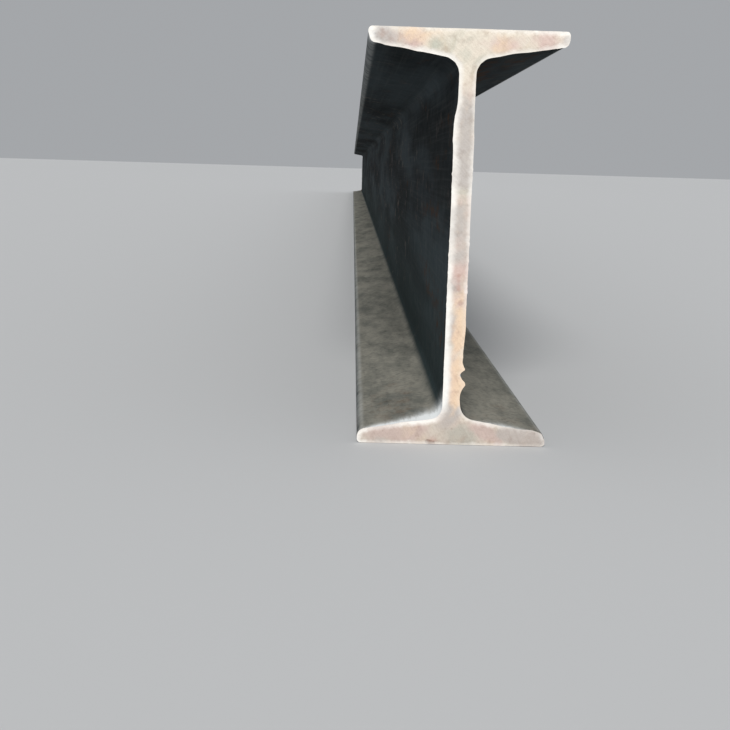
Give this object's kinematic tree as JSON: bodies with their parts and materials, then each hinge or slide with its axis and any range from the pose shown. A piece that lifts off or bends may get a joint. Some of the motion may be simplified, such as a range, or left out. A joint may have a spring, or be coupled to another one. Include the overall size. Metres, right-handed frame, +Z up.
{
  "type": "steel h-beam",
  "caption": "Hot-rolled steel beam of I-shaped section with tapered flanges, sawn square at both ends, as stock for columns, rails and building frames.",
  "frame": {"origin": "centre of the lower flange's underside, halfway along the beam", "axes": "+Z up along the web's depth, +Y along the beam's length, +X across the flanges"},
  "size_m": [0.118, 6, 0.25],
  "materials": {
    "mill_scale_steel": "matte blue-grey mill scale with dust and light rust, bare sawn ends"
  },
  "bodies": {
    "root": {"h_beam": "mill_scale_steel"}
  },
  "joints": []
}
